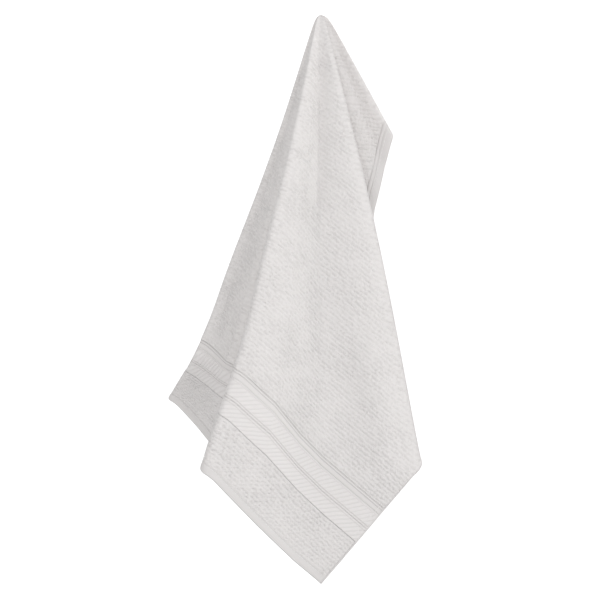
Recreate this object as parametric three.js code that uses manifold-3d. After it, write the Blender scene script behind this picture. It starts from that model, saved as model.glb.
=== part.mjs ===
// A terry face towel, 400 x 700 mm, hung from one point of its cloth.
// Millimetres, +Z up, +X to the viewer's right, the viewer at -Y.
// The origin is the point that the towel hangs from, at the top of its gathers.
//
// The towel is one piece of cloth with its hems turned in. A point of it is
// named by its flat direction from the hanging point and its flat distance.
// The cloth is pleated back and forth round that point, so that each direction
// hangs as one ray, at a side angle seen from the front and at one layer of
// the stack of pleats, counted from the front to the back.

import * as THREE from 'three';
import { mergeVertices } from 'three/addons/utils/BufferGeometryUtils.js';
import Module from 'manifold-3d';

const wasm = await Module();
wasm.setup();

// The flat towel. Flat direction 0 points straight at the lower hem, and
// directions grow towards the near selvedge, by way of the front corner.
const CLOTH_WIDTH = 400;
const CLOTH_LENGTH = 700;
const TO_NEAR_SELVEDGE = 324;
const TO_LOWER_HEM = 391;
const TO_FAR_SELVEDGE = CLOTH_WIDTH - TO_NEAR_SELVEDGE;
const TO_UPPER_HEM = CLOTH_LENGTH - TO_LOWER_HEM;
const CLOTH_THICKNESS = 2.9;
const HEM_WIDTH = 8;
const SELVEDGE_WIDTH = 6.5;
const HEM_THICKNESS = 3.8;
const HEM_STEP = 1.5;

// The stack of pleats. The layers lie tightly at the top and loosen below.
const LOOSE_PITCH = 7;
const PITCH_REACH = 110;
const THICKNESS_TO_PITCH = 0.58;
const HANG_LAYER = 4.6;

// Where the layers step back to clear the pleat that shows at the left.
const STEP = { left: -7.5, right: 4 };

// Where the short layers end, the ones behind them settle forwards.
const SETTLE = { layers: 2, firstLayer: 8, lastLayer: 11, begin: 130, end: 260 };

// The gathers at the top: a small round head that the pleats come out of.
const GATHER_RADIUS = 13;
const GATHER_SPREAD = 0.15;
const GATHER_ROUND = 4;

const RADIAL_STEPS = 12;
const RADIAL_CROWD = 1.15;
const SIDE_STEP = 3.5;
const FOLD_STEPS = 5;
const FOLD_FLAT = 1.3;
const FOLD_ROOM = { least: 0.5, perLayer: 2.2 };

const TOWEL_WHITE = 0xf1efec;

const degrees = (radians) => (radians * 180) / Math.PI;
const radians = (angle) => (angle * Math.PI) / 180;
const mix = (a, b, share) => a + (b - a) * share;
const bearing = (across, along) => degrees(Math.atan2(across, along));

// The flat directions of the towel's four corners.
const FRONT_CORNER = bearing(TO_NEAR_SELVEDGE, TO_LOWER_HEM);
const HIDDEN_CORNER = 180 - bearing(TO_NEAR_SELVEDGE, TO_UPPER_HEM);
const WING_CORNER = 180 + bearing(TO_FAR_SELVEDGE, TO_UPPER_HEM);
const BACK_CORNER = 360 - bearing(TO_FAR_SELVEDGE, TO_LOWER_HEM);

// One row for each fold, and for each corner between two folds, in order round
// the hanging point. flat is the row's flat direction, and side its angle to
// the right of straight down. A fold turns the cloth from one layer to another,
// and the cloth after it steps back by behind layers at the left. A row without
// layers lets the cloth pass. Where there is slack, the cloth hangs that share
// of its length higher than it would if it were taut, and where the slack is
// late, it does so only near the hem.
const PLEATS = [
  { name: 'front left edge', flat: 24.2, side: -12.5, from: 1.2, to: -0.9, behind: 0, slack: 0.024 },
  { name: 'front, beside the left edge', flat: 32, side: -6.7, slack: 0.009 },
  { name: 'front, beside the corner', flat: 36.5, side: -2.7, slack: 0.002 },
  { name: 'front corner', flat: FRONT_CORNER, side: 0, slack: 0.005 },
  { name: 'front right edge', flat: 52.3, side: 13.1, from: -0.9, to: 1, behind: 2 },
  { name: 'second pleat', flat: 78, side: -8.5, from: 1, to: 2, behind: 2 },
  { name: 'third pleat', flat: 103, side: 12, from: 2, to: 3, behind: 2 },
  { name: 'short pleat', flat: 125, side: -8, from: 3, to: 4, behind: 2 },
  { name: 'hidden corner', flat: HIDDEN_CORNER, side: -1.5 },
  { name: 'fourth pleat', flat: 148, side: 12, from: 4, to: 5, behind: 2 },
  { name: 'fifth pleat', flat: 175, side: -12.6, from: 5, to: 6, behind: 2 },
  { name: 'wing corner', flat: WING_CORNER, side: 5 },
  { name: 'wing beside the front', flat: 204.8, side: 15.1 },
  { name: 'wing edge', flat: 217.2, side: 28.3, from: 6, to: 7, behind: 2 },
  { name: 'sixth pleat', flat: 262, side: -13.6, from: 7, to: 8, behind: 2 },
  { name: 'seventh pleat', flat: 302, side: 25, from: 8, to: 9, behind: 2 },
  { name: 'back pleat, inner', flat: 331, side: -4, from: 9, to: 10, behind: 2 },
  { name: 'back pleat, outer', flat: 339, side: 4.5, from: 10, to: 11, behind: 2 },
  { name: 'back corner', flat: BACK_CORNER, side: -5.5 },
  { name: 'left edge', flat: 364.3, side: -18.9, from: 4.5, to: 5, behind: 0, lateSlack: 0.049 },
  { name: 'left pleat, beside the front', flat: 371.1, side: -14.2, lateSlack: 0.024 },
  { name: 'left pleat, inner', flat: 378.3, side: -9.2, from: 2.2, to: 1.2, behind: 0 },
  { name: 'front left edge', flat: 384.2, side: -12.5, from: 1.2, to: -0.9, behind: 0, slack: 0.024 },
];

// The back panel keeps its layer over this share of its width, and comes
// forwards after it, to the left edge.
const BACK_HELD = 0.73;

// Near the hem, the foot of the left pleat turns back under itself: fully from
// one layer on, and for the layers far behind only beside the left edge.
const LATE = { begin: 315, end: 395 };
const FOOT = { back: 45, layerBegin: 1.2, layerFull: 4, left: -11.5, right: -8.3 };
const FOOT_BEHIND = { layerBegin: 6.5, layerFull: 9, left: -17.5, right: -12 };

// How far the cloth stands back, in shares of RELIEF_DEPTH, across the front:
// the long valley and the two swells beside it, then the hollow of the wing.
const RELIEF_DEPTH = 12;
const RELIEF_REACH = 150;
const RELIEF = [
  { side: -24, depth: -0.4 },
  { side: -12.5, depth: -0.85 },
  { side: -3.4, depth: 0.35 },
  { side: 10.4, depth: -0.8 },
  { side: 14.5, depth: -0.5 },
  { side: 21, depth: 0.5 },
  { side: 30, depth: -0.2 },
];

// How the rays swing: the left ones hang closer to plumb below the gathers, and
// near the hems the left edge swings out and the right one in.
const LEFT_PLUMB = { begin: 60, end: 260, share: -0.12 };
const LEFT_SWING = { begin: 270, end: 430, share: 0.13 };
const RIGHT_SWING = { begin: 150, end: 420, share: -0.085 };

// The head of the gathers, between two side angles and two layers, and how
// much of that room it fills on its way down.
const HEAD = { left: -19, right: 26, frontLayer: -0.9, backLayer: 11, sides: 28 };
const HEAD_STOPS = [
  { distance: 0.5, share: 1 },
  { distance: 3, share: 1 },
  { distance: 6, share: 1.02 },
  { distance: 10, share: 1.05 },
  { distance: 15, share: 1.06 },
  { distance: 22, share: 0.98 },
  { distance: 30, share: 0.86 },
  { distance: 40, share: 0.62 },
  { distance: 50, share: 0.3 },
];

function ease(value, begin, end) {
  const share = Math.min(Math.max((value - begin) / (end - begin), 0), 1);
  return share * share * (3 - 2 * share);
}

// The flat distance from the hanging point to the towel's edge, and to where
// the turned hem of that edge begins.
function edgeAlong(flat) {
  const along = Math.cos(radians(flat));
  const across = Math.sin(radians(flat));
  const sides = [
    { reach: TO_LOWER_HEM, lean: along, turned: HEM_WIDTH },
    { reach: TO_UPPER_HEM, lean: -along, turned: HEM_WIDTH },
    { reach: TO_NEAR_SELVEDGE, lean: across, turned: SELVEDGE_WIDTH },
    { reach: TO_FAR_SELVEDGE, lean: -across, turned: SELVEDGE_WIDTH },
  ];
  let nearest = { distance: Infinity, hem: 0 };
  for (const { reach, lean, turned } of sides) {
    const distance = lean > 1e-9 ? reach / lean : Infinity;
    if (distance < nearest.distance) nearest = { distance, hem: distance * (1 - turned / reach) };
  }
  return nearest;
}

const pitchAt = (distance) => LOOSE_PITCH * (1 - Math.exp(-distance / PITCH_REACH));

function reliefAt(side, distance) {
  const last = RELIEF.length - 1;
  const found = RELIEF.findIndex((row) => row.side > side);
  const index = found === -1 ? last : Math.max(found, 1);
  const [a, b] = [RELIEF[index - 1], RELIEF[index]];
  const depth = mix(a.depth, b.depth, ease(side, a.side, b.side));
  return RELIEF_DEPTH * (1 - Math.exp(-distance / RELIEF_REACH)) * depth;
}

function swingAt(side, distance) {
  const { begin, end, share } = side < 0 ? LEFT_SWING : RIGHT_SWING;
  const plumb = side < 0 ? LEFT_PLUMB.share * (1 - ease(distance, LEFT_PLUMB.begin, LEFT_PLUMB.end)) : 0;
  return side * (1 + plumb + share * ease(distance, begin, end));
}

function settleAt(layer, distance) {
  const { layers, firstLayer, lastLayer, begin, end } = SETTLE;
  return layers * ease(layer, firstLayer, lastLayer) * ease(distance, begin, end);
}

const lateness = (distance) => ease(distance, LATE.begin, LATE.end);

function footAt(side, layer, distance) {
  const { back, layerBegin, layerFull, left, right } = FOOT;
  const turned = ease(layer, layerBegin, layerFull) * (1 - ease(side, left, right));
  const behind = ease(layer, FOOT_BEHIND.layerBegin, FOOT_BEHIND.layerFull);
  const held = behind * ease(side, FOOT_BEHIND.left, FOOT_BEHIND.right);
  return back * turned * (1 - held) * lateness(distance);
}

const dropOf = (length) => Math.hypot(length, GATHER_ROUND) - GATHER_ROUND;
const spreadOf = (side, distance) => (
  GATHER_SPREAD * side * (1 - Math.exp(-distance / GATHER_ROUND))
);

// The place in space of a point that lies at a side angle, a layer and a flat
// distance from the hanging point. Taut, the straight line to it is as long.
function place(side, layer, distance, { slack = 0, lateSlack = 0 } = {}) {
  const angle = radians(swingAt(side, distance));
  const settled = layer - settleAt(layer, distance) - HANG_LAYER;
  const back = settled * pitchAt(distance) + reliefAt(side, distance) + footAt(side, layer, distance);
  const taut = Math.sqrt(Math.max(distance * distance - back * back, 0));
  const seen = taut * (1 - slack - lateSlack * lateness(distance));
  const x = seen * Math.sin(angle) + spreadOf(side, distance);
  return new THREE.Vector3(x, back, -dropOf(seen * Math.cos(angle)));
}

const isFold = (row) => 'to' in row;
const stepAt = (side) => 1 - ease(side, STEP.left, STEP.right);

// The folds, with the layers that they join after the step at the left.
const FOLDS = PLEATS.filter(isFold).map((row, index, folds) => {
  const arriving = folds[index - 1] ?? row;
  const from = row.from + arriving.behind * stepAt(row.side);
  const to = row.to + row.behind * stepAt(row.side);
  return { ...row, from, to, width: Math.abs(to - from), start: row.to, stop: row.from };
});

const foldAngle = (fold, distance) => degrees((fold.width * pitchAt(distance)) / 2 / distance);

// A ray is a flat direction and a function from flat distance to a place.
function foldRays(fold, next) {
  const inward = Math.sign(next.side - fold.side);
  return Array.from({ length: FOLD_STEPS }, (_, step) => {
    const share = (step + 0.5) / FOLD_STEPS;
    const turn = mix(-Math.PI / 2, Math.PI / 2, share);
    const layer = mix(fold.from, fold.to, (1 + Math.sin(turn)) / 2);
    const at = (distance) => {
      const recess = foldAngle(fold, distance) * (1 - Math.cos(turn));
      return place(fold.side + inward * recess, layer, distance, fold);
    };
    return { flat: fold.flat + mix(-FOLD_FLAT, FOLD_FLAT, share), at };
  });
}

// The side angles between two folds at which the cloth is cut into faces. All
// layers share them, so that their faces lie in line, clear of one another.
function sidesBetween(start, stop, marks) {
  const inward = Math.sign(stop.side - start.side);
  const sloping = start.start !== stop.stop;
  const step = sloping ? SIDE_STEP / 2 : SIDE_STEP;
  const room = (fold) => FOLD_ROOM.least + FOLD_ROOM.perLayer * fold.width;
  const low = inward > 0 ? start : stop;
  const high = inward > 0 ? stop : start;
  const sides = [];
  for (let side = Math.ceil(low.side / step) * step; side < high.side; side += step) {
    const clear = side > low.side + room(low) && side < high.side - room(high);
    const marked = marks.some((mark) => Math.abs(mark.side - side) < step / 2);
    if (clear && !marked) sides.push(side);
  }
  sides.push(...marks.map((mark) => mark.side));
  return sides.sort((a, b) => inward * (a - b));
}

function passRays(start, stop, marks) {
  const knots = [
    { ...start, flat: start.flat + FOLD_FLAT },
    ...marks,
    { ...stop, flat: stop.flat - FOLD_FLAT },
  ];
  return sidesBetween(start, stop, marks).map((side) => {
    const index = knots.findIndex((knot, place) => place > 0
      && (side - knot.side) * (side - knots[place - 1].side) <= 0);
    const [a, b] = [knots[index - 1], knots[index]];
    const between = (side - a.side) / (b.side - a.side);
    const flat = mix(a.flat, b.flat, between);
    const hang = {
      slack: mix(a.slack ?? 0, b.slack ?? 0, between),
      lateSlack: mix(a.lateSlack ?? 0, b.lateSlack ?? 0, between),
    };
    const done = (side - start.side) / (stop.side - start.side);
    const share = ease(done, stop.name === 'left edge' ? BACK_HELD : 0, 1);
    const layer = mix(start.start, stop.stop, share) + start.behind * stepAt(side);
    return { flat, at: (distance) => place(side, layer, distance, hang) };
  });
}

function clothRays() {
  return FOLDS.slice(0, -1).flatMap((fold, index) => {
    const next = FOLDS[index + 1];
    const marks = PLEATS.filter((row) => !isFold(row) && row.flat > fold.flat && row.flat < next.flat);
    return [...foldRays(fold, next), ...passRays(fold, next, marks)];
  });
}

// The flat distances at which a ray is cut into faces, with the thickness of
// the cloth at each: an even body, then the turned hem.
function stopsAlong(flat) {
  const edge = edgeAlong(flat);
  const body = Array.from({ length: RADIAL_STEPS + 1 }, (_, step) => {
    const share = (step / RADIAL_STEPS) ** RADIAL_CROWD;
    return { distance: mix(GATHER_RADIUS, edge.hem, share), most: CLOTH_THICKNESS };
  });
  const turned = [
    { distance: edge.hem + HEM_STEP, most: HEM_THICKNESS },
    { distance: edge.distance, most: HEM_THICKNESS },
  ];
  return [...body, ...turned].map(({ distance, most }) => ({
    distance,
    thickness: Math.min(most, THICKNESS_TO_PITCH * pitchAt(distance)),
  }));
}

// Two faces a thickness apart, joined at the towel's edge and in the gathers.
function clothSheet() {
  const rays = clothRays();
  const count = rays.length;
  const faces = [-1, 1].map((face) => rays.map((ray, index) => {
    const before = rays[(index + count - 1) % count];
    const after = rays[(index + 1) % count];
    return stopsAlong(ray.flat).map(({ distance, thickness }) => {
      const middle = ray.at(distance);
      const along = ray.at(distance + 1).sub(middle);
      const arriving = middle.clone().sub(before.at(distance)).normalize();
      const around = after.at(distance).sub(middle).normalize().add(arriving);
      const normal = around.cross(along).normalize();
      return middle.addScaledVector(normal, (face * thickness) / 2);
    });
  }));
  const rings = faces[0][0].length;
  const loops = [];
  for (let ring = 0; ring < rings; ring += 1) loops.push(faces[0].map((ray) => ray[ring]));
  for (let ring = rings - 1; ring >= 0; ring -= 1) loops.push(faces[1].map((ray) => ray[ring]));
  return loops;
}

// A closed skin over loops of points, each joined to the next. The last loop
// joins the first one again, or both ends close at a point.
function skin(loops, closedRing) {
  const count = loops[0].length;
  const positions = loops.flat().flatMap((point) => point.toArray());
  const index = [];
  const bands = closedRing ? loops.length : loops.length - 1;
  for (let band = 0; band < bands; band += 1) {
    const a = band * count;
    const b = ((band + 1) % loops.length) * count;
    for (let step = 0; step < count; step += 1) {
      const next = (step + 1) % count;
      index.push(a + step, b + step, b + next, a + step, b + next, a + next);
    }
  }
  if (!closedRing) {
    for (let step = 1; step < count - 1; step += 1) {
      const end = (loops.length - 1) * count;
      index.push(0, step, step + 1, end, end + step + 1, end + step);
    }
  }
  const geometry = new THREE.BufferGeometry();
  geometry.setAttribute('position', new THREE.Float32BufferAttribute(positions, 3));
  geometry.setIndex(index);
  return geometry;
}

// The head of the gathers: the cloth that is bunched too tightly to part.
function gatherHead() {
  const loops = HEAD_STOPS.map(({ distance, share }) => {
    const left = place(HEAD.left, HANG_LAYER, distance).x;
    const right = place(HEAD.right, HANG_LAYER, distance).x;
    const front = place(0, HEAD.frontLayer, distance);
    const back = (HEAD.backLayer - HANG_LAYER) * pitchAt(distance);
    return Array.from({ length: HEAD.sides }, (_, step) => {
      const turn = (2 * Math.PI * step) / HEAD.sides;
      const x = (left + right) / 2 + (share * (right - left) * Math.cos(turn)) / 2;
      const y = (front.y + back) / 2 + (share * (back - front.y) * Math.sin(turn)) / 2;
      return new THREE.Vector3(x, y, front.z);
    });
  });
  return skin(loops, false);
}

function solidOf(geometry) {
  const merged = mergeVertices(geometry, 1e-5);
  return new wasm.Manifold(new wasm.Mesh({
    numProp: 3,
    vertProperties: merged.getAttribute('position').array,
    triVerts: new Uint32Array(merged.index.array),
  }));
}

function geometryOf(solid) {
  const mesh = solid.getMesh();
  const geometry = new THREE.BufferGeometry();
  geometry.setAttribute('position', new THREE.BufferAttribute(mesh.vertProperties, 3));
  geometry.setIndex(new THREE.BufferAttribute(mesh.triVerts, 1));
  geometry.computeVertexNormals();
  return geometry;
}

const terry = new THREE.MeshStandardMaterial({ color: TOWEL_WHITE, roughness: 0.95, metalness: 0 });
const towel = new THREE.Mesh(geometryOf(solidOf(skin(clothSheet(), true)).add(solidOf(gatherHead()))), terry);
towel.name = 'towel';

const model = new THREE.Group();
model.add(towel);

export default model;
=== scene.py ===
import math

import bpy
import numpy as np
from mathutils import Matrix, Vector


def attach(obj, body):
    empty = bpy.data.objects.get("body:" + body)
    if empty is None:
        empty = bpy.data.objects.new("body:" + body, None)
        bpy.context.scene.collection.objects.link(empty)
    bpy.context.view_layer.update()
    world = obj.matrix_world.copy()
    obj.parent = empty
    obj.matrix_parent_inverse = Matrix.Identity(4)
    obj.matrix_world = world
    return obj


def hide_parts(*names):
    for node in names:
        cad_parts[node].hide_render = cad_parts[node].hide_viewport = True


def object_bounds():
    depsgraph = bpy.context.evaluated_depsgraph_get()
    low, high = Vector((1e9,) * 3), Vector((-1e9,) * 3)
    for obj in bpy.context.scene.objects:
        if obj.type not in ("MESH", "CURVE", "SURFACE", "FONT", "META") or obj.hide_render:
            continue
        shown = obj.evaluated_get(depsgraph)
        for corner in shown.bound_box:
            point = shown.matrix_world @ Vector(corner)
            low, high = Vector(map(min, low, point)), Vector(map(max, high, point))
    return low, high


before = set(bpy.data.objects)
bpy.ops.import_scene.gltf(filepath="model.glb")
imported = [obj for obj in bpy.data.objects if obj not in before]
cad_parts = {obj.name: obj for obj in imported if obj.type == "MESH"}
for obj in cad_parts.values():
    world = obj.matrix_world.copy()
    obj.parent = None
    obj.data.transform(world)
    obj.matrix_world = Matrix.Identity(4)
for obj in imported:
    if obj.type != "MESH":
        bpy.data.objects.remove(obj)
cadLow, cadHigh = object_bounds()

# A terry face towel that hangs from one point of its cloth.
# Metres, +Z up, the viewer at -Y, the origin at the hanging point. A point of
# the cloth is named by its flat direction and flat distance from there.
# Direction 0 is straight at the lower hem, and directions grow towards the
# near selvedge. Side angles are seen from the front, to the right of straight
# down, and layers are counted through the stack of pleats, front to back.


# The cloth and its pleats

cloth = {
    "width": 0.400,
    "length": 0.700,
    "toNearSelvedge": 0.324,   # from the hanging point
    "toLowerHem": 0.391,
    "thickness": 0.0029,
    "loosePitch": 0.0070,      # from one layer to the next, well below the top
    "pitchReach": 0.110,
    "thicknessToPitch": 0.58,  # at most, where the layers lie close
    "hangLayer": 4.6,          # the layer at the depth of the hanging point
    "stepLeft": -7.5,          # side angles between which the layers step back
    "stepRight": 4,
    "gatherSpread": 0.00015,   # metres for each degree
    "gatherRound": 0.004,
    "foldFlat": 1.3,           # degrees of flat direction in a fold, to each side
    "foldRays": 11,
    "foldSquare": 0.6,         # 1 is round, and less is squarer
    "seenRay": 0.6,            # degrees from ray to ray
    "hiddenRay": 1.8,
    "bodyStops": 52,
    "stopCrowd": 1.15,
    "hemStops": 5,             # between the woven band and the hem
    "firstStop": 0.0012,
    "tipShare": 0.2,           # of the first stop, between the two faces at the top
}

# One row for each fold, and for each place between two folds. A fold turns
# the cloth from one layer to another, and the cloth after it steps back by
# behind layers at the left. Slack cloth hangs that share of its length higher,
# and late slack only does so further down. Away from the cloth's edge, the flat
# direction is slip degrees further on. seen is True where the cloth after the
# row shows, and is laid finer.
pleatColumns = (
    "name", "flat", "side", "fromLayer", "toLayer",
    "behind", "slack", "lateSlack", "slip", "seen",
)
pleats = [
    ("front left edge", 24.2, -12.5, 1.2, -0.9, 0, 0.024, 0, 0, True),
    ("front, beside the left edge", 32, -6.7, None, None, 0, 0.009, 0, -1.5, True),
    ("front, beside the corner", 36.5, -2.7, None, None, 0, 0.002, 0, -0.5, True),
    ("front corner", "front", 0, None, None, 0, 0.005, 0, 0, True),
    ("front right edge", 52.3, 13.1, -0.9, 1, 2, 0, 0, 0, False),
    ("second pleat", 78, -8.5, 1, 2, 2, 0, 0, 0, False),
    ("third pleat", 103, 12, 2, 3, 2, 0, 0, 0, False),
    ("short pleat", 125, -8, 3, 4, 2, 0, 0, 0, False),
    ("hidden corner", "hidden", -1.5, None, None, 0, 0, 0, 0, False),
    ("fourth pleat", 148, 12, 4, 5, 2, 0, 0, 0, False),
    ("fifth pleat", 175, -12.6, 5, 6, 2, 0, 0, 0, False),
    ("wing corner", "wing", 5, None, None, 0, 0, 0, 0, True),
    ("wing beside the front", 204.8, 15.1, None, None, 0, 0, 0, 0, True),
    ("wing edge", 217.2, 28.3, 6, 7, 2, 0, 0, 0, True),
    ("sixth pleat", 262, -13.6, 7, 8, 2, 0, 0, 0, True),
    ("seventh pleat", 302, 25, 8, 9, 2, 0, 0, 0, True),
    ("back pleat, inner", 331, -4, 9, 10, 2, 0, 0, 0, False),
    ("back pleat, outer", 339, 4.5, 10, 11, 2, 0, 0, 0, True),
    ("back corner", "back", -5.5, None, None, 0, 0, 0, 0, True),
    ("left edge", 364.3, -18.9, 4.5, 5, 0, 0, 0.049, 5.7, True),
    ("left pleat, beside the front", 371.1, -14.2, None, None, 0, 0, 0.024, 8.4, True),
    ("left pleat, inner", 378.3, -9.2, 2.2, 1.2, 0, 0, 0, 4.9, True),
    ("front left edge", 384.2, -12.5, 1.2, -0.9, 0, 0.024, 0, 0, True),
]
lastBackShare = 0.73           # of the back panel, before it comes forwards to the left edge
late = {"begin": 0.315, "end": 0.395}      # where late slack and the foot's turn come in
slipEnd = {"begin": 0.095, "end": 0.005}   # where the slip fades, from the cloth's edge

# The foot of the left pleat stands back, at the layers and side angles of
# footTurn. The layers behind it that footBehind names stay where they are.
footTurn = {"back": 0.045, "frontLayer": 1.2, "fullLayer": 4, "left": -11.5, "right": -8.3}
footBehind = {"frontLayer": 6.5, "fullLayer": 9, "left": -17.5, "right": -12}

# How far the cloth stands back at each side angle, as shares of the depth, which
# comes in over the reach.
relief = {
    "depth": 0.012,
    "reach": 0.150,
    "sides": (-24, -12.5, -2.4, 10.4, 14.5, 21, 30),
    "shares": (-0.4, -0.85, 0.35, -0.65, -0.5, 0.5, -0.2),
}

# The last layers settle forwards on the way down.
settle = {"layers": 2, "firstLayer": 8, "lastLayer": 11, "begin": 0.130, "end": 0.260}

# By what share the side angles grow at the left and the right on the way down.
# Near the top the left side hangs steeper, until the end of leftPlumb.
leftPlumb = {"begin": 0.060, "end": 0.260, "share": -0.12}
leftSwing = {"begin": 0.270, "end": 0.430, "share": 0.13}
rightSwing = {"begin": 0.150, "end": 0.420, "share": -0.085}

# Soft creases, each from one flat place to another, (across, along) from the
# hanging point. back is how far the cloth stands back along it.
creaseColumns = ("start", "stop", "width", "back")
creases = [
    ((0.030, 0.036), (0.105, 0.133), 0.007, 0.0028),
    ((0.105, 0.133), (0.200, 0.262), 0.011, 0.0010),
    ((0.232, 0.213), (0.306, 0.276), 0.018, -0.0042),
    ((0.322, 0.290), (0.322, 0.391), 0.028, 0.0045),
]

hem = {
    "width": 0.008,            # at the ends
    "selvedge": 0.0065,        # at the sides
    "thickness": 0.0038,
    "turnIn": 0.0004,          # the turned cloth ends between these, about its width
    "turnOut": 0.0006,
    "stitchInset": 0.0012,     # from the inner side of the hem
    "groove": 0.0005,          # how deep the stitches pull each face in
    "grooveWidth": 0.0009,
    "edgeRound": 0.0016,
    "edgeThinnest": 0.35,
    "stops": (1.45, 1.25, 1.1, 1.0, 0.93, 0.85, 0.77, 0.6, 0.42, 0.28, 0.17, 0.07, 0),
}

# The woven band near each end, measured from the hem's edge.
band = {
    "low": 0.0486,
    "middle": 0.0637,
    "rib": 0.0797,
    "high": 0.0870,
    "sink": 0.0004,            # the flat weave lies lower than the pile
    "slope": 0.0008,
    "ridge": 0.6,              # how far the middle and the rib rise back, as a share of the sink
    "stops": (0.0896, 0.0882, 0.0870, 0.0858, 0.0834, 0.0813, 0.0797, 0.0781, 0.0735, 0.0690,
              0.0651, 0.0637, 0.0623, 0.0570, 0.0525, 0.0498, 0.0486, 0.0474, 0.0452),
}

# Slow waves that keep the cloth from being even.
wander = {"back": 0.00035, "turns": ((52, 31), (-37, 64), (81, -23)), "begin": 0.05, "end": 0.25}


def mix(a, b, share):
    return a + (b - a) * share


def ease(value, begin, end):
    share = np.clip((value - begin) / (end - begin), 0, 1)
    return share * share * (3 - 2 * share)


def bell(value, width):
    return np.exp(-(value / width) ** 2)


def bearing(across, along):
    return math.degrees(math.atan2(across, along))


toFarSelvedge = cloth["width"] - cloth["toNearSelvedge"]
toUpperHem = cloth["length"] - cloth["toLowerHem"]
cornerFlats = {
    "front": bearing(cloth["toNearSelvedge"], cloth["toLowerHem"]),
    "hidden": 180 - bearing(cloth["toNearSelvedge"], toUpperHem),
    "wing": 180 + bearing(toFarSelvedge, toUpperHem),
    "back": 360 - bearing(toFarSelvedge, cloth["toLowerHem"]),
}


def stepAt(side):
    return 1 - ease(side, cloth["stepLeft"], cloth["stepRight"])


def readPleats():
    rows = [dict(zip(pleatColumns, row)) for row in pleats]
    for row in rows:
        row["flat"] = cornerFlats.get(row["flat"], row["flat"])
    folds = [row for row in rows if row["toLayer"] is not None]
    arriving = folds[0]["behind"]
    for fold in folds:
        step = stepAt(fold["side"])
        fold["start"], fold["stop"] = fold["toLayer"], fold["fromLayer"]
        fold["fromLayer"] += arriving * step
        fold["toLayer"] += fold["behind"] * step
        fold["span"] = abs(fold["toLayer"] - fold["fromLayer"])
        arriving = fold["behind"]
    return rows, folds


# A ray is (flat, side, recess, layer, slack, late slack, slip). recess is how
# far its fold's round draws it in from the side angle, in halves of a layer.
def foldRays(fold, inward):
    shares = (np.arange(cloth["foldRays"]) + 0.5) / cloth["foldRays"]
    rays = []
    for share in shares:
        turn = math.pi * (share - 0.5)
        flat = fold["flat"] + mix(-cloth["foldFlat"], cloth["foldFlat"], share)
        through = math.copysign(abs(math.sin(turn)) ** cloth["foldSquare"], turn)
        layer = mix(fold["fromLayer"], fold["toLayer"], (1 + through) / 2)
        recess = inward * fold["span"] * (1 - math.cos(turn) ** cloth["foldSquare"])
        rays.append((flat, fold["side"], recess, layer, fold["slack"], fold["lateSlack"], fold["slip"]))
    return rays


def passRays(fold, following, inward, corners):
    knots = [dict(fold, flat=fold["flat"] + cloth["foldFlat"])] + corners
    knots.append(dict(following, flat=following["flat"] - cloth["foldFlat"]))
    rays = []
    for a, b in zip(knots, knots[1:]):
        stepFlat = cloth["seenRay"] if a["seen"] else cloth["hiddenRay"]
        count = max(2, round((b["flat"] - a["flat"]) / stepFlat))
        last = count if b is not knots[-1] else count - 1
        for share in np.arange(1, last + 1) / count:
            side = mix(a["side"], b["side"], share)
            done = (side - fold["side"]) / (following["side"] - fold["side"])
            begin = lastBackShare if following["name"] == "left edge" else 0
            layer = mix(fold["start"], following["stop"], ease(done, begin, 1))
            layer += fold["behind"] * stepAt(side)
            recess = inward * mix(fold["span"], -following["span"], done)
            flat, *rest = (mix(a[key], b[key], share) for key in ("flat", "slack", "lateSlack", "slip"))
            rays.append((flat, side, recess, layer, *rest))
    return rays


def makeRays():
    rows, folds = readPleats()
    rays = []
    for fold, following in zip(folds, folds[1:]):
        inward = 1 if following["side"] > fold["side"] else -1
        corners = [row for row in rows
                   if row["toLayer"] is None and fold["flat"] < row["flat"] < following["flat"]]
        rays += foldRays(fold, inward) + passRays(fold, following, inward, corners)
    return np.array(rays).T


def pitchAt(distance):
    return cloth["loosePitch"] * (1 - np.exp(-distance / cloth["pitchReach"]))


def reliefAt(side, distance):
    sides, shares = np.array(relief["sides"]), np.array(relief["shares"])
    index = np.clip(np.searchsorted(sides, side), 1, len(sides) - 1)
    share = mix(shares[index - 1], shares[index], ease(side, sides[index - 1], sides[index]))
    return relief["depth"] * (1 - np.exp(-distance / relief["reach"])) * share


def creasesAt(across, along):
    back = np.zeros(np.shape(across))
    for crease in creases:
        row = dict(zip(creaseColumns, crease))
        start, stop = np.array(row["start"]), np.array(row["stop"])
        run = stop - start
        share = ((across - start[0]) * run[0] + (along - start[1]) * run[1]) / (run @ run)
        nearest = np.clip(share, 0, 1)
        away = np.hypot(across - start[0] - nearest * run[0], along - start[1] - nearest * run[1])
        back = back + row["back"] * bell(away, row["width"])
    return back


def wanderAt(across, along, distance):
    waves = sum(np.sin(turnAcross * across + turnAlong * along + turnAcross)
                for turnAcross, turnAlong in wander["turns"])
    return wander["back"] * waves * ease(distance, wander["begin"], wander["end"])


def swingAt(side, distance):
    left = leftSwing["share"] * ease(distance, leftSwing["begin"], leftSwing["end"])
    left = left + leftPlumb["share"] * (1 - ease(distance, leftPlumb["begin"], leftPlumb["end"]))
    right = rightSwing["share"] * ease(distance, rightSwing["begin"], rightSwing["end"])
    return side * (1 + np.where(side < 0, left, right))


def footAt(side, layer):
    turned = ease(layer, footTurn["frontLayer"], footTurn["fullLayer"])
    turned = turned * (1 - ease(side, footTurn["left"], footTurn["right"]))
    held = ease(layer, footBehind["frontLayer"], footBehind["fullLayer"])
    held = held * ease(side, footBehind["left"], footBehind["right"])
    return footTurn["back"] * turned * (1 - held)


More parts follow.
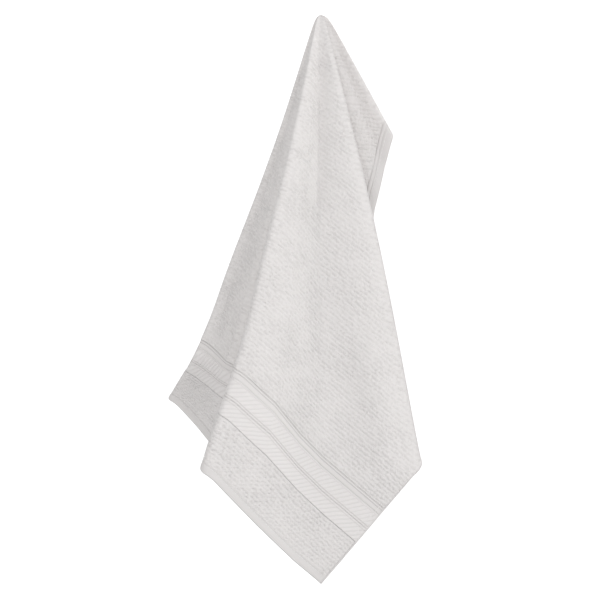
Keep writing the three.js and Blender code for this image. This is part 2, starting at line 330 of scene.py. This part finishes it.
# The middle of the cloth in space, and where that is on the flat cloth.
def placeCloth(rays, distance):
    flat, side, recess, layer, slack, lateSlack, slip = rays
    lateness = ease(distance, late["begin"], late["end"])
    fromEdge = edgeAlong(flat)[0] - distance
    flat = flat + slip * ease(fromEdge, slipEnd["end"], slipEnd["begin"])
    across = distance * np.sin(np.radians(flat))
    along = distance * np.cos(np.radians(flat))
    pitch = pitchAt(distance)
    side = side + np.degrees(recess * pitch / 2 / distance)
    settled = settle["layers"] * ease(layer, settle["firstLayer"], settle["lastLayer"])
    settled = layer - settled * ease(distance, settle["begin"], settle["end"]) - cloth["hangLayer"]
    back = settled * pitch + reliefAt(side, distance) + footAt(side, layer) * lateness
    back = back + creasesAt(across, along) + wanderAt(across, along, distance)
    seen = np.sqrt(np.maximum(distance ** 2 - back ** 2, 0)) * (1 - slack - lateSlack * lateness)
    angle = np.radians(swingAt(side, distance))
    gather = cloth["gatherRound"]
    x = seen * np.sin(angle) + cloth["gatherSpread"] * side * (1 - np.exp(-distance / gather))
    z = gather - np.hypot(seen * np.cos(angle), gather)
    return np.stack([x, back, z], axis=-1), across, along


def edgeAlong(flat):
    along, across = np.cos(np.radians(flat)), np.sin(np.radians(flat))
    reaches = np.array([cloth["toLowerHem"], toUpperHem, cloth["toNearSelvedge"], toFarSelvedge])
    distances = reaches / np.maximum(np.stack([along, -along, across, -across], axis=-1), 1e-6)
    nearest = np.argmin(distances, axis=-1)
    widths = np.where(nearest < 2, hem["width"], hem["selvedge"])
    return np.min(distances, axis=-1), reaches[nearest], nearest < 2, widths


# Distances from a flat place to the ends and the selvedges.
def edgesFrom(across, along):
    fromEnd = np.minimum(cloth["toLowerHem"] - along, toUpperHem + along)
    fromSelvedge = np.minimum(cloth["toNearSelvedge"] - across, toFarSelvedge + across)
    return np.maximum(fromEnd, 0), np.maximum(fromSelvedge, 0)


def thicknessAt(across, along, distance):
    fromEnd, fromSelvedge = edgesFrom(across, along)
    room = cloth["thicknessToPitch"] * pitchAt(distance)
    inBand = ease(fromEnd, band["low"] - band["slope"], band["low"] + band["slope"])
    inBand = inBand * (1 - ease(fromEnd, band["high"] - band["slope"], band["high"] + band["slope"]))
    ribs = bell(fromEnd - band["rib"], band["slope"]) + bell(fromEnd - band["middle"], band["slope"])
    thickness = cloth["thickness"] - 2 * band["sink"] * (inBand - band["ridge"] * ribs)
    edges = ((fromEnd, hem["width"]), (fromSelvedge, hem["selvedge"]))
    turned = np.maximum(*[1 - ease(away, width - hem["turnIn"], width + hem["turnOut"])
                          for away, width in edges])
    thickness = thickness + (hem["thickness"] - cloth["thickness"]) * turned
    for away, width in edges:
        seam = bell(away - width + hem["stitchInset"], hem["grooveWidth"])
        thickness = thickness - 2 * hem["groove"] * seam
    nearest = np.minimum(np.minimum(fromEnd, fromSelvedge) / hem["edgeRound"], 1)
    rounded = np.maximum(np.sqrt(1 - (1 - nearest) ** 2), hem["edgeThinnest"])
    return np.minimum(thickness, room) * rounded


# The flat distances at which each ray has its points, with rows along the
# band's lines and the hem where the ray ends at a hem.
def stopsAlong(flat):
    distance, reach, endsAtHem, turned = edgeAlong(flat)
    bandReach = np.where(endsAtHem, reach, cloth["toLowerHem"])
    hemStart = 1 - hem["stops"][0] * turned / reach
    bandHem = hem["stops"][0] * hem["width"]
    bandShares = (1 - np.array(band["stops"])[:, None] / bandReach) / (1 - bandHem / bandReach)
    body = (np.arange(cloth["bodyStops"]) / cloth["bodyStops"]) ** cloth["stopCrowd"]
    firstShare = cloth["firstStop"] / (distance * hemStart)
    bodyShares = mix(firstShare, bandShares[0], body[:, None])
    between = (np.arange(cloth["hemStops"]) + 1) / (cloth["hemStops"] + 1)
    hemShares = mix(bandShares[-1], 1, between[:, None])
    inner = np.concatenate([bodyShares, bandShares, hemShares]) * hemStart
    outer = 1 - np.array(hem["stops"])[:, None] * turned / reach
    return np.concatenate([inner, outer]) * distance


def unit(vectors):
    return vectors / np.maximum(np.linalg.norm(vectors, axis=-1, keepdims=True), 1e-12)


# The two faces of the cloth, a thickness apart, with one rim.
def clothPoints(rays):
    distance = stopsAlong(rays[0])
    middle, across, along = placeCloth(rays[:, None, :], distance)
    forward = unit(np.roll(middle, -1, axis=1) - middle)
    arriving = unit(middle - np.roll(middle, 1, axis=1))
    outward = np.gradient(middle, axis=0)
    normal = unit(np.cross(forward + arriving, outward))
    half = thicknessAt(across, along, distance)[..., None] / 2 * normal
    return middle - half, middle + half, across, along


def gridFaces(first, second):
    a, b = first[:-1], first[1:]
    c, d = second[1:], second[:-1]
    return np.stack([a, b, c, d], axis=-1).reshape(-1, 4)


def makeCloth(rays):
    front, back, across, along = clothPoints(rays)
    stops, count = across.shape
    size = stops * count
    index = np.arange(size).reshape(stops, count)
    after = np.roll(index, -1, axis=1)
    quads = [
        gridFaces(index, after)[:, ::-1],
        gridFaces(index, after) + size,
        np.stack([index[-1], after[-1], after[-1] + size, index[-1] + size], axis=-1)[:, ::-1],
    ]
    tips = [2 * size, 2 * size + 1]
    caps = [[tips[0], b, a] for a, b in zip(index[0], after[0])]
    caps += [[tips[1], a + size, b + size] for a, b in zip(index[0], after[0])]
    inner = cloth["firstStop"] * cloth["tipShare"]
    points = np.concatenate([front.reshape(-1, 3), back.reshape(-1, 3), [(0, 0, 0), (0, 0, -inner)]])
    flat = np.stack([across + toFarSelvedge, cloth["toLowerHem"] - along], axis=-1).reshape(-1, 2)
    flat = np.concatenate([flat, flat, [(toFarSelvedge, cloth["toLowerHem"])] * 2])
    mesh = bpy.data.meshes.new("terryCloth")
    mesh.from_pydata(points.tolist(), [], np.concatenate(quads).tolist() + caps)
    layer = mesh.uv_layers.new(name="flatCloth")
    corners = np.empty(len(mesh.loops), dtype=np.int32)
    mesh.loops.foreach_get("vertex_index", corners)
    layer.data.foreach_set("uv", flat[corners].astype(np.float32).ravel())
    mesh.shade_smooth()
    return mesh


def addObject(name, mesh):
    piece = bpy.data.objects.new(name, mesh)
    bpy.context.scene.collection.objects.link(piece)
    return piece


rays = makeRays()
terryCloth = addObject("terryCloth", makeCloth(rays))
triangles = sum(len(face.vertices) - 2 for face in terryCloth.data.polygons)
print("cloth:", rays.shape[1], "rays,", triangles, "triangles")


# The stitches that hold the hems

stitching = {
    "pitch": 0.0034,
    "length": 0.0024,
    "radius": 0.00024,
    "proud": 0.00008,
    "margin": 0.004,           # without stitches, at each end of a line
    "turnStep": 0.05,          # degrees to each side, to find the slope of a face
    "reachStep": 0.0002,       # metres to each side
    "sides": 5,
    "profile": ((0, 0.35), (0.18, 0.9), (0.5, 1), (0.82, 0.9), (1, 0.35)),
}


# Flat places along a line that runs beside an edge.
def stitchLine(edge, away):
    near, lower = cloth["toNearSelvedge"], cloth["toLowerHem"]
    margin = stitching["margin"]
    ends = {
        "lower": ((-toFarSelvedge + margin, lower - away), (near - margin, lower - away)),
        "upper": ((-toFarSelvedge + margin, away - toUpperHem), (near - margin, away - toUpperHem)),
        "near": ((near - away, margin - toUpperHem), (near - away, lower - margin)),
        "far": ((away - toFarSelvedge, margin - toUpperHem), (away - toFarSelvedge, lower - margin)),
    }
    start, stop = (np.array(end) for end in ends[edge])
    run = np.linalg.norm(stop - start)
    count = int(run / stitching["pitch"])
    middles = (np.arange(count) + 0.5) / count
    return start + middles[:, None] * (stop - start), (stop - start) / run


def facePoints(places, face):
    order = np.argsort(rays[0])
    flat = np.degrees(np.arctan2(places[..., 0], places[..., 1]))
    flat = (flat - rays[0].min()) % 360 + rays[0].min()
    distance = np.hypot(places[..., 0], places[..., 1])

    def placeAt(turn, reach):
        turned = flat + turn
        columns = [np.interp(turned, rays[0][order], column[order]) for column in rays[1:]]
        return placeCloth([turned, *columns], distance + reach)

    middle, across, along = placeAt(0, 0)
    turnStep, reachStep = stitching["turnStep"], stitching["reachStep"]
    around = placeAt(turnStep, 0)[0] - placeAt(-turnStep, 0)[0]
    outward = placeAt(0, reachStep)[0] - placeAt(0, -reachStep)[0]
    normal = unit(np.cross(around, outward)) * face
    thickness = thicknessAt(across, along, distance)[..., None]
    return middle + normal * (thickness / 2 + stitching["proud"]), normal


# A stitch lies along the face from begin to end, thinner at both.
def addStitch(points, faces, begin, end, up):
    sides, profile = stitching["sides"], stitching["profile"]
    across = unit(np.cross(end - begin, up)) * stitching["radius"]
    lift = up * stitching["radius"]
    first = len(points)
    last = first + (len(profile) - 1) * sides
    for share, fullness in profile:
        centre = mix(begin, end, share)
        for turn in np.arange(sides) / sides * 2 * math.pi:
            points.append(centre + fullness * (math.cos(turn) * across + math.sin(turn) * lift))
    for low in range(first, last, sides):
        for step in range(sides):
            after = (step + 1) % sides
            faces.append((low + step, low + after, low + sides + after, low + sides + step))
    faces.append(tuple(first + step for step in reversed(range(sides))))
    faces.append(tuple(last + step for step in range(sides)))


def makeStitches():
    points, faces = [], []
    for edge in ("lower", "upper", "near", "far"):
        turned = hem["width"] if edge in ("lower", "upper") else hem["selvedge"]
        away = turned - hem["stitchInset"]
        middles, direction = stitchLine(edge, away)
        for face in (-1, 1):
            begins, normals = facePoints(middles - direction * stitching["length"] / 2, face)
            ends = facePoints(middles + direction * stitching["length"] / 2, face)[0]
            for begin, end, up in zip(begins, ends, normals):
                addStitch(points, faces, begin, end, up)
    mesh = bpy.data.meshes.new("hemStitches")
    mesh.from_pydata([tuple(point) for point in points], [], faces)
    mesh.shade_smooth()
    return mesh


hemStitches = addObject("hemStitches", makeStitches())
print("stitches:", len(hemStitches.data.polygons), "faces")


# Finishes

terryLook = {
    "colour": (0.88, 0.852, 0.842, 1),
    # painted shade in the hollows of the pile
    "paintedHollowShade": (0.825, 0.797, 0.785, 1),
    # painted shade in the band's grooved lines
    "paintedLineShade": (0.70, 0.672, 0.66, 1),
    # painted shade on the turned hems
    "paintedHemShade": (0.80, 0.775, 0.765, 1),
    "roughness": 0.95,
    "sheen": 0.3,
    "sheenRoughness": 0.6,
    "specular": 0.2,
    "pileHeight": 0.0011,
    "plainSelvedge": 0.0100,   # without pile, from the far side edge
    "piledMore": 0.0085,       # the pile runs on this much further at the near side edge
    "plainEdge": 0.0004,       # the pile fades out over this, to each side
    "hemEdge": (0.0008, -0.0006),   # and between these, about the hem's width
    "selvedgeCords": (0.0072, 0.0098),
    "cordWidth": 0.0005,
    "cordHeight": 0.35,
    "fibreScale": 2600.0,
    "fibreShade": 0.05,
    "fibreHeight": 0.08,
}

threadLook = {
    "colour": (0.88, 0.875, 0.86, 1),
    "roughness": 0.8,
    "sheen": 0.2,
    "sheenRoughness": 0.6,
    "specular": 0.2,
    "fibreScale": 4000.0,
    "fibreShade": 0.06,
    "fibreDepth": 0.0001,
}

# Rows of loops along the hem, broken into tufts, and fuller in some patches than
# in others. Scales are in blotches for each metre.
pileLook = {
    "rowPitch": 0.0034,
    "tuftLength": 0.0022,
    "wander": 1.0,             # how far the rows drift, in rows
    "driftScale": 110.0,
    "patchScale": 40.0,
    "patchRange": (0.35, 0.65),
    "patchFullness": (0.6, 0.95),
    "rowShare": 0.42,
    "tuftShare": 0.58,
    "tuftRange": (0.30, 0.70),
    "tuftHeight": 0.9,
    "loopScale": 1200.0,
    "loopHeight": 0.35,
    # how low pile maps to painted shade in its hollows
    "hollowShadeRange": (0.62, 0.15),
}

# Each of the band's lines is (place, offset, width, darkness), where darkness is the painted shade in its
# groove.
bandLook = {
    "ribPitch": 0.0036,
    "lowerPitch": 1.41,        # times the rib pitch, below the middle
    "upperPitch": -0.16,       # added to it above the middle
    "ribLean": 1.0,            # how far the woven ribs lean across the band
    "upperLean": -0.25,
    "grooveSharpness": 3.0,
    "grooveShade": 0.26,
    "ribHeight": 0.25,
    "edgeOut": 0.0006,
    "edgeIn": 0.0004,
    "plainBelow": (0.0020, 0.0008),   # the slanting ribs end between these, below the rib
    "ridgeWidth": 0.0008,
    "ridgeHeight": 0.5,
    "lineDepth": 0.3,
    "lines": (
        ("low", 0, 0.00055, 0.6),
        ("middle", -0.0023, 0.0005, 0.55),
        ("middle", 0, 0.0005, 1.0),
        ("middle", 0.0022, 0.0005, 0.75),
        ("high", -0.0022, 0.0005, 1.0),
        ("high", 0, 0.0005, 0.9),
    ),
}


# A short way to write node trees.
class Tree:
    def __init__(self, tree):
        self.tree = tree

    def node(self, kind, inputs=(), **settings):
        made = self.tree.nodes.new(kind)
        for name, value in settings.items():
            setattr(made, name, value)
        for socket, value in dict(inputs).items():
            target = made.inputs[socket]
            if isinstance(value, bpy.types.NodeSocket):
                self.link(value, target)
            else:
                target.default_value = value
        return made

    def link(self, value, target):
        self.tree.links.new(value, target)

    def math(self, operation, *values):
        return self.node("ShaderNodeMath", dict(enumerate(values)), operation=operation).outputs[0]

    def noise(self, place, scale, detail):
        inputs = {"Vector": place, "Scale": scale, "Detail": detail}
        return self.node("ShaderNodeTexNoise", inputs).outputs["Fac"]

    def less(self, value):
        return self.math("SUBTRACT", 1.0, value)

    def mapRange(self, value, low, high, toLow=0.0, toHigh=1.0):
        inputs = {"Value": value, "From Min": low, "From Max": high, "To Min": toLow, "To Max": toHigh}
        return self.node("ShaderNodeMapRange", inputs, interpolation_type="SMOOTHSTEP").outputs["Result"]

    def mixColour(self, share, first, second):
        mixed = self.node("ShaderNodeMixRGB", {"Fac": share, "Color1": first, "Color2": second})
        return mixed.outputs["Color"]

    def bell(self, value, centre, width):
        away = self.math("DIVIDE", self.math("SUBTRACT", value, centre), width)
        return self.math("EXPONENT", self.math("MULTIPLY", self.math("MULTIPLY", away, away), -1.0))


def newGroup(name, inputs, outputs):
    group = bpy.data.node_groups.new(name, "ShaderNodeTree")
    for socketName, kind, value in inputs:
        socket = group.interface.new_socket(socketName, in_out="INPUT", socket_type=kind)
        if value is not None:
            socket.default_value = value
    for socketName, kind in outputs:
        group.interface.new_socket(socketName, in_out="OUTPUT", socket_type=kind)
    tree = Tree(group)
    return group, tree, tree.node("NodeGroupInput").outputs, tree.node("NodeGroupOutput").inputs


# Loops of pile in short, broken rows that run along the hem, with painted shade in the hollows between the
# tufts.
def pileGroup():
    look = pileLook
    group, tree, given, result = newGroup("terryPile", [
        ("Across", "NodeSocketFloat", 0.0),
        ("Along", "NodeSocketFloat", 0.0),
        ("Row Pitch", "NodeSocketFloat", look["rowPitch"]),
        ("Tuft Length", "NodeSocketFloat", look["tuftLength"]),
        ("Wander", "NodeSocketFloat", look["wander"]),
    ], [("Height", "NodeSocketFloat"), ("Painted Hollow Shade", "NodeSocketFloat")])
    place = tree.node("ShaderNodeCombineXYZ", {"X": given["Across"], "Y": given["Along"]}).outputs[0]
    drift = tree.math("SUBTRACT", tree.noise(place, look["driftScale"], 2.0), 0.5)
    inRows = tree.math("DIVIDE", given["Along"], given["Row Pitch"])
    row = tree.math("MULTIPLY_ADD", drift, given["Wander"], inRows)
    rows = tree.math("COSINE", tree.math("MULTIPLY", row, 2 * math.pi))
    rows = tree.math("MULTIPLY_ADD", rows, 0.5, 0.5)
    inTufts = tree.math("DIVIDE", given["Across"], given["Tuft Length"])
    stretched = tree.node("ShaderNodeCombineXYZ", {"X": inTufts, "Y": inRows}).outputs[0]
    broken = tree.mapRange(tree.noise(stretched, 1.0, 2.0), *look["tuftRange"], 0.0, look["tuftShare"])
    patch = tree.noise(place, look["patchScale"], 1.0)
    fullness = tree.mapRange(patch, *look["patchRange"], *look["patchFullness"])
    tuft = tree.math("MULTIPLY_ADD", rows, look["rowShare"], broken)
    tuft = tree.math("MULTIPLY_ADD", tree.math("SUBTRACT", tuft, 0.5), fullness, 0.5)
    loops = tree.noise(place, look["loopScale"], 2.0)
    raised = tree.math("MULTIPLY", tuft, look["tuftHeight"])
    tree.link(tree.math("MULTIPLY_ADD", loops, look["loopHeight"], raised), result["Height"])
    tree.link(tree.mapRange(tuft, *look["hollowShadeRange"]), result["Painted Hollow Shade"])
    return group


# The flat woven band: border lines, a middle pair and slanting ribs, with painted shade in the lines and
# in the grooves between the ribs.
def bandGroup():
    look = bandLook
    group, tree, given, result = newGroup("wovenBand", [
        ("From End", "NodeSocketFloat", 0.0),
        ("Across", "NodeSocketFloat", 0.0),
        ("Rib Pitch", "NodeSocketFloat", look["ribPitch"]),
        ("Rib Lean", "NodeSocketFloat", look["ribLean"]),
    ], [("Height", "NodeSocketFloat"), ("Inside", "NodeSocketFloat"), ("Line", "NodeSocketFloat")])
    away = given["From End"]
    aboveLow = tree.mapRange(away, band["low"] - look["edgeOut"], band["low"] + look["edgeIn"])
    belowHigh = tree.mapRange(away, band["high"] + look["edgeOut"], band["high"] - look["edgeIn"])
    inside = tree.math("MULTIPLY", aboveLow, belowHigh)
    upper = tree.math("GREATER_THAN", away, band["middle"])
    lean = tree.math("MULTIPLY_ADD", upper, look["upperLean"], given["Rib Lean"])
    slant = tree.math("MULTIPLY_ADD", away, tree.math("MULTIPLY", lean, -1.0), given["Across"])
    times = tree.math("MULTIPLY_ADD", upper, look["upperPitch"], look["lowerPitch"])
    pitch = tree.math("MULTIPLY", given["Rib Pitch"], times)
    turn = tree.math("MULTIPLY", tree.math("DIVIDE", slant, pitch), 2 * math.pi)
    waves = tree.math("MULTIPLY_ADD", tree.math("SINE", turn), 0.5, 0.5)
    ribs = tree.less(tree.math("POWER", waves, look["grooveSharpness"]))
    plainFrom, plainTo = look["plainBelow"]
    plain = tree.mapRange(away, band["rib"] - plainFrom, band["rib"] - plainTo)
    ribs = tree.math("MULTIPLY", ribs, tree.less(plain))
    line = 0.0
    for place, offset, width, darkness in look["lines"]:
        mark = tree.math("MULTIPLY", tree.bell(away, band[place] + offset, width), darkness)
        line = tree.math("MAXIMUM", line, mark)
    ridge = tree.math("MULTIPLY", tree.bell(away, band["rib"], look["ridgeWidth"]), look["ridgeHeight"])
    height = tree.math("ADD", tree.math("MULTIPLY", ribs, look["ribHeight"]), ridge)
    height = tree.math("SUBTRACT", height, tree.math("MULTIPLY", line, look["lineDepth"]))
    # painted shade in the grooves between the ribs, inside the band
    groove = tree.math("MULTIPLY", tree.less(ribs), tree.math("MULTIPLY", inside, look["grooveShade"]))
    tree.link(height, result["Height"])
    tree.link(inside, result["Inside"])
    tree.link(tree.math("MAXIMUM", line, groove), result["Line"])
    return group


blotchScale = 14.0             # for each metre of cloth


# Fine cotton fibres, for the cloth and for the thread, on wide, soft blotches.
def fibreGroup():
    group, tree, given, result = newGroup("cottonFibre", [
        ("Place", "NodeSocketVector", None),
        ("Fineness", "NodeSocketFloat", terryLook["fibreScale"]),
        ("Strength", "NodeSocketFloat", terryLook["fibreShade"]),
        ("Colour", "NodeSocketColor", (1, 1, 1, 1)),
    ], [("Colour", "NodeSocketColor"), ("Height", "NodeSocketFloat")])
    fuzz = tree.noise(given["Place"], given["Fineness"], 3.0)
    blotch = tree.noise(given["Place"], blotchScale, 2.0)
    light = tree.math("SUBTRACT", tree.math("ADD", fuzz, blotch), 1.0)
    shade = tree.math("ADD", 1.0, tree.math("MULTIPLY", light, given["Strength"]))
    scaled = tree.node("ShaderNodeVectorMath", {0: given["Colour"], "Scale": shade}, operation="SCALE")
    tree.link(scaled.outputs[0], result["Colour"])
    tree.link(fuzz, result["Height"])
    return group


fibre = fibreGroup()


def newMaterial(name, look):
    material = bpy.data.materials.new(name)
    material.use_nodes = True
    tree = Tree(material.node_tree)
    shader = material.node_tree.nodes["Principled BSDF"]
    shader.inputs["Roughness"].default_value = look["roughness"]
    shader.inputs["Sheen Weight"].default_value = look["sheen"]
    shader.inputs["Sheen Roughness"].default_value = look["sheenRoughness"]
    shader.inputs["Specular IOR Level"].default_value = look["specular"]
    return material, tree, shader


# flatCloth runs across from the far selvedge and along from the lower hem.
def terryMaterial():
    look = terryLook
    material, tree, shader = newMaterial("terryFinish", look)
    flat = tree.node("ShaderNodeUVMap", uv_map="flatCloth").outputs["UV"]
    parts = tree.node("ShaderNodeSeparateXYZ", {"Vector": flat}).outputs
    across, along = parts["X"], parts["Y"]
    fromEnd = tree.math("MINIMUM", along, tree.math("SUBTRACT", cloth["length"], along))
    fromNear = tree.math("SUBTRACT", cloth["width"] + look["piledMore"], across)
    fromSelvedge = tree.math("MINIMUM", across, fromNear)
    pile = tree.node("ShaderNodeGroup", {
        "Across": across,
        "Along": along,
        "Row Pitch": pileLook["rowPitch"],
        "Tuft Length": pileLook["tuftLength"],
        "Wander": pileLook["wander"],
    }, node_tree=pileGroup()).outputs
    woven = tree.node("ShaderNodeGroup", {
        "From End": fromEnd,
        "Across": across,
        "Rib Pitch": bandLook["ribPitch"],
        "Rib Lean": bandLook["ribLean"],
    }, node_tree=bandGroup()).outputs
    turnedEnd = tree.mapRange(fromEnd, *[hem["width"] + offset for offset in look["hemEdge"]])
    plain = look["plainSelvedge"]
    turnedSide = tree.mapRange(fromSelvedge, plain + look["plainEdge"], plain - look["plainEdge"])
    turned = tree.math("MAXIMUM", turnedEnd, turnedSide)
    unturned = tree.less(turned)
    piled = tree.less(tree.math("MAXIMUM", woven["Inside"], turned))
    cords = [tree.bell(fromSelvedge, place, look["cordWidth"]) for place in look["selvedgeCords"]]
    cotton = tree.node("ShaderNodeGroup", {
        "Place": flat,
        "Fineness": look["fibreScale"],
        "Strength": look["fibreShade"],
    }, node_tree=fibre)
    # painted shade in the pile's hollows, only where there is pile
    hollowShade = tree.math("MULTIPLY", pile["Painted Hollow Shade"], piled)
    colour = tree.mixColour(hollowShade, look["colour"], look["paintedHollowShade"])
    # painted shade on the turned hems and the plain selvedge strip
    colour = tree.mixColour(turned, colour, look["paintedHemShade"])
    # painted shade in the band's lines and rib grooves, away from the hems
    colour = tree.mixColour(tree.math("MULTIPLY", woven["Line"], unturned), colour, look["paintedLineShade"])
    tree.link(colour, cotton.inputs["Colour"])
    tree.link(cotton.outputs["Colour"], shader.inputs["Base Color"])
    height = tree.math("MULTIPLY", pile["Height"], piled)
    height = tree.math("MULTIPLY_ADD", woven["Height"], unturned, height)
    height = tree.math("MULTIPLY_ADD", tree.math("MAXIMUM", *cords), look["cordHeight"], height)
    height = tree.math("MULTIPLY_ADD", cotton.outputs["Height"], look["fibreHeight"], height)
    bump = tree.node("ShaderNodeBump", {"Height": height, "Distance": look["pileHeight"], "Strength": 1.0})
    tree.link(bump.outputs[0], shader.inputs["Normal"])
    return material


def threadMaterial():
    look = threadLook
    material, tree, shader = newMaterial("threadFinish", look)
    cotton = tree.node("ShaderNodeGroup", {
        "Place": tree.node("ShaderNodeTexCoord").outputs["Object"],
        "Fineness": look["fibreScale"],
        "Strength": look["fibreShade"],
        "Colour": look["colour"],
    }, node_tree=fibre)
    tree.link(cotton.outputs["Colour"], shader.inputs["Base Color"])
    height = cotton.outputs["Height"]
    bump = tree.node("ShaderNodeBump", {"Height": height, "Distance": look["fibreDepth"]})
    tree.link(bump.outputs[0], shader.inputs["Normal"])
    return material


terryCloth.data.materials.append(terryMaterial())
hemStitches.data.materials.append(threadMaterial())
print("finishes: done")


# What each piece rides on

for piece in (terryCloth, hemStitches):
    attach(piece, "root")
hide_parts("towel")


# The studio

studio = {
    "backdropGap": 0.02,
    "backdropSize": 4.0,
    "backdropGlow": 0.6,
    "backdropColour": (0.9, 0.9, 0.9, 1),
    "floorDrop": 0.14,
    "floorColour": (0.85, 0.85, 0.85, 1),
    "worldColour": (1, 1, 1, 1),
    "worldStrength": 0.56,
    "keyPlace": (1.75, -1.45, 0.35),
    "keySize": 1.6,
    "keyPower": 16,
    "fillPlace": (-1.0, -2.1, -0.2),
    "fillSize": 1.2,
    "fillPower": 11.5,
}

# The picture is 600 px square, and its centre lies this far from the hanging
# point, to the right and up.
view = {
    "distance": 2.3,
    "metresAcross": 0.5310,
    "centre": (-0.0181, -0.2522),
}


def plainMaterial(name, colour, glow):
    material = bpy.data.materials.new(name)
    material.use_nodes = True
    shader = material.node_tree.nodes["Principled BSDF"]
    shader.inputs["Base Color"].default_value = colour
    shader.inputs["Roughness"].default_value = 1.0
    shader.inputs["Specular IOR Level"].default_value = 0.0
    shader.inputs["Emission Color"].default_value = (1, 1, 1, 1)
    shader.inputs["Emission Strength"].default_value = glow
    return material


# The backdrop is clear from behind, and only the camera sees it, so the back
# of the towel shows and gets no light from it.
def clearFromBehind(material):
    tree = Tree(material.node_tree)
    nodes = material.node_tree.nodes
    clear = tree.node("ShaderNodeBsdfTransparent").outputs[0]
    facing = tree.node("ShaderNodeNewGeometry").outputs["Backfacing"]
    bounced = tree.less(tree.node("ShaderNodeLightPath").outputs["Is Camera Ray"])
    hidden = tree.math("MAXIMUM", facing, bounced)
    shown = tree.node("ShaderNodeMixShader", {0: hidden, 1: nodes["Principled BSDF"].outputs[0], 2: clear})
    tree.link(shown.outputs[0], nodes["Material Output"].inputs["Surface"])
    return material


def addPlane(name, corners, material):
    mesh = bpy.data.meshes.new(name)
    mesh.from_pydata(corners, [], [(0, 1, 2, 3)])
    mesh.materials.append(material)
    addObject(name, mesh)


def addLight(name, place, size, power, target):
    light = bpy.data.lights.new(name, "AREA")
    light.size = size
    light.energy = power
    lamp = addObject(name, light)
    lamp.location = place
    direction = np.array(target) - np.array(place)
    lamp.rotation_euler = Vector(direction).to_track_quat("-Z", "Y").to_euler()


half = studio["backdropSize"] / 2
wallAt = cadHigh.y + studio["backdropGap"]
floorAt = cadLow.z - studio["floorDrop"]
addPlane("backdrop",
         [(-half, wallAt, floorAt), (half, wallAt, floorAt), (half, wallAt, half), (-half, wallAt, half)],
         clearFromBehind(plainMaterial("backdropPaint", studio["backdropColour"], studio["backdropGlow"])))
addPlane("floor",
         [(-half, -half, floorAt), (half, -half, floorAt), (half, half, floorAt), (-half, half, floorAt)],
         plainMaterial("floorPaint", studio["floorColour"], 0))

target = (cadLow + cadHigh) / 2
addLight("keyLight", studio["keyPlace"], studio["keySize"], studio["keyPower"], target)
addLight("fillLight", studio["fillPlace"], studio["fillSize"], studio["fillPower"], target)

world = bpy.data.worlds.new("studioWorld")
world.use_nodes = True
world.node_tree.nodes["Background"].inputs["Color"].default_value = studio["worldColour"]
world.node_tree.nodes["Background"].inputs["Strength"].default_value = studio["worldStrength"]
bpy.context.scene.world = world

cameraData = bpy.data.cameras.new("camera")
cameraData.lens = cameraData.sensor_width * view["distance"] / view["metresAcross"]
camera = addObject("camera", cameraData)
camera.location = (view["centre"][0], -view["distance"], view["centre"][1])
camera.rotation_euler = (math.pi / 2, 0, 0)
bpy.context.scene.camera = camera
bpy.context.scene.view_settings.view_transform = "Standard"
print("studio: done")
